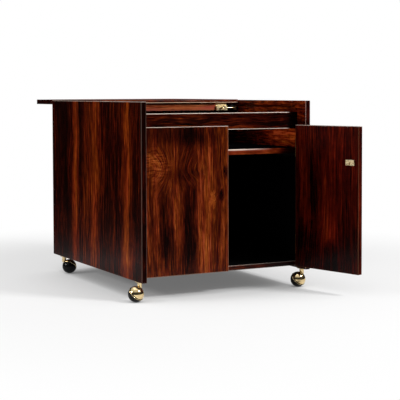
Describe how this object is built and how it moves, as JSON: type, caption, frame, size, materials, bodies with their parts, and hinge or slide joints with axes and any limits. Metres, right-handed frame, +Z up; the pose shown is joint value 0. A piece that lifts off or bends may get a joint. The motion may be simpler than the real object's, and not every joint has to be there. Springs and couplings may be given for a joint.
{
  "type": "bar cart",
  "caption": "Rosewood bar cart on brass and black ball casters, with a top that slides back to open the shelf below it, lockable doors and a bottle space.",
  "frame": {"origin": "on the floor under the middle of the box, which is the middle of the side panels' rectangle", "axes": "+X to the right of someone facing the doors, +Y to the back, +Z up; the doors face -Y"},
  "size_m": [0.6708, 1.1593, 0.592],
  "materials": {
    "rosewood": "high-gloss lacquered rosewood veneer, dark brown figure",
    "blackened_wood": "satin black stain",
    "felt": "dark felt strip",
    "brass": "polished",
    "black_ball": "gloss black wheel half of the ball casters",
    "steel": "bright turned"
  },
  "bodies": {
    "carcass": {"left_side": "rosewood", "right_side": "rosewood", "back_panel": "rosewood", "bottom_panel": "rosewood", "front_rail": "rosewood", "rear_deck": "rosewood", "shelf": "rosewood", "shelf_cleat_left": "blackened_wood", "shelf_cleat_right": "blackened_wood", "lid_runner_left": "blackened_wood", "lid_runner_right": "blackened_wood", "deck_glide_left": "felt", "deck_glide_right": "felt", "lid_stop": "blackened_wood", "hinge_left_lower_frame_leaf": "brass", "hinge_left_upper_frame_leaf": "brass", "hinge_right_lower_frame_leaf": "brass", "hinge_right_upper_frame_leaf": "brass", "hinge_left_lower_pin": "steel", "hinge_left_upper_pin": "steel", "hinge_right_lower_pin": "steel", "hinge_right_upper_pin": "steel", "caster_front_left_socket": "brass", "caster_front_right_socket": "brass", "caster_back_left_socket": "brass", "caster_back_right_socket": "brass"},
    "lid": {"lid_panel": "rosewood", "lid_batten": "rosewood", "lid_guide": "blackened_wood", "lid_bolt_case": "brass", "lid_bolt_staple": "brass"},
    "lid_bolt": {"lid_bolt": "brass"},
    "left_door": {"left_door": "rosewood", "door_strike": "brass", "hinge_left_lower_door_leaf": "brass", "hinge_left_upper_door_leaf": "brass"},
    "right_door": {"right_door": "rosewood", "door_lock_case": "brass", "door_escutcheon": "brass", "hinge_right_lower_door_leaf": "brass", "hinge_right_upper_door_leaf": "brass"},
    "door_key": {"door_key": "brass"},
    "door_lock_bolt": {"door_lock_bolt": "brass"},
    "caster_front_left_swivel": {"caster_front_left_hood": "brass", "caster_front_left_axle": "steel"},
    "caster_front_left_wheel": {"caster_front_left_wheel": "black_ball"},
    "caster_front_right_swivel": {"caster_front_right_hood": "brass", "caster_front_right_axle": "steel"},
    "caster_front_right_wheel": {"caster_front_right_wheel": "black_ball"},
    "caster_back_left_swivel": {"caster_back_left_hood": "brass", "caster_back_left_axle": "steel"},
    "caster_back_left_wheel": {"caster_back_left_wheel": "black_ball"},
    "caster_back_right_swivel": {"caster_back_right_hood": "brass", "caster_back_right_axle": "steel"},
    "caster_back_right_wheel": {"caster_back_right_wheel": "black_ball"}
  },
  "joints": [
    {"name": "left_door_swing", "type": "hinge", "parent": "carcass", "child": "left_door", "pos_m": [-0.2719, -0.339, 0.3], "axis": [0, 0, -1], "range_deg": [0, 105]},
    {"name": "right_door_swing", "type": "hinge", "parent": "carcass", "child": "right_door", "pos_m": [0.2719, -0.339, 0.3], "axis": [0, 0, 1], "range_deg": [-105, 0]},
    {"name": "lid_slide", "type": "slide", "parent": "carcass", "child": "lid", "axis": [0, 1, 0], "range_m": [-0.378, 0]},
    {"name": "lid_bolt_shoot", "type": "slide", "parent": "lid", "child": "lid_bolt", "axis": [1, 0, 0], "range_m": [0, 0.01]},
    {"name": "door_key_turn", "type": "hinge", "parent": "right_door", "child": "door_key", "pos_m": [0.30995, -0.56215, 0.4013], "axis": [-0.9659, -0.2588, 0], "range_deg": [0, 180]},
    {"name": "door_lock_bolt_shoot", "type": "slide", "parent": "right_door", "child": "door_lock_bolt", "axis": [0.2588, -0.9659, 0], "range_m": [0, 0.02]},
    {"name": "caster_front_left_swivel", "type": "hinge", "parent": "carcass", "child": "caster_front_left_swivel", "pos_m": [-0.284, -0.33, 0.057], "axis": [0, 0, 1], "continuous": true},
    {"name": "caster_front_left_roll", "type": "hinge", "parent": "caster_front_left_swivel", "child": "caster_front_left_wheel", "pos_m": [-0.30077, -0.34089, 0.024], "axis": [0.3851, -0.593, 0.7071], "continuous": true},
    {"name": "caster_front_right_swivel", "type": "hinge", "parent": "carcass", "child": "caster_front_right_swivel", "pos_m": [0.284, -0.33, 0.057], "axis": [0, 0, 1], "continuous": true},
    {"name": "caster_front_right_roll", "type": "hinge", "parent": "caster_front_right_swivel", "child": "caster_front_right_wheel", "pos_m": [0.26546, -0.33749, 0.024], "axis": [0.2649, -0.6556, 0.7071], "continuous": true},
    {"name": "caster_back_left_swivel", "type": "hinge", "parent": "carcass", "child": "caster_back_left_swivel", "pos_m": [-0.284, 0.285, 0.057], "axis": [0, 0, 1], "continuous": true},
    {"name": "caster_back_left_roll", "type": "hinge", "parent": "caster_back_left_swivel", "child": "caster_back_left_wheel", "pos_m": [-0.27114, 0.26968, 0.024], "axis": [0.5417, 0.4545, 0.7071], "continuous": true},
    {"name": "caster_back_right_swivel", "type": "hinge", "parent": "carcass", "child": "caster_back_right_swivel", "pos_m": [0.284, 0.285, 0.057], "axis": [0, 0, 1], "continuous": true},
    {"name": "caster_back_right_roll", "type": "hinge", "parent": "caster_back_right_swivel", "child": "caster_back_right_wheel", "pos_m": [0.274, 0.26768, 0.024], "axis": [0.6124, -0.3536, 0.7071], "continuous": true}
  ],
  "couplings": [
    {"joint": "door_key_turn", "follows": "door_lock_bolt_shoot", "rad_per_m": 157.07}
  ]
}
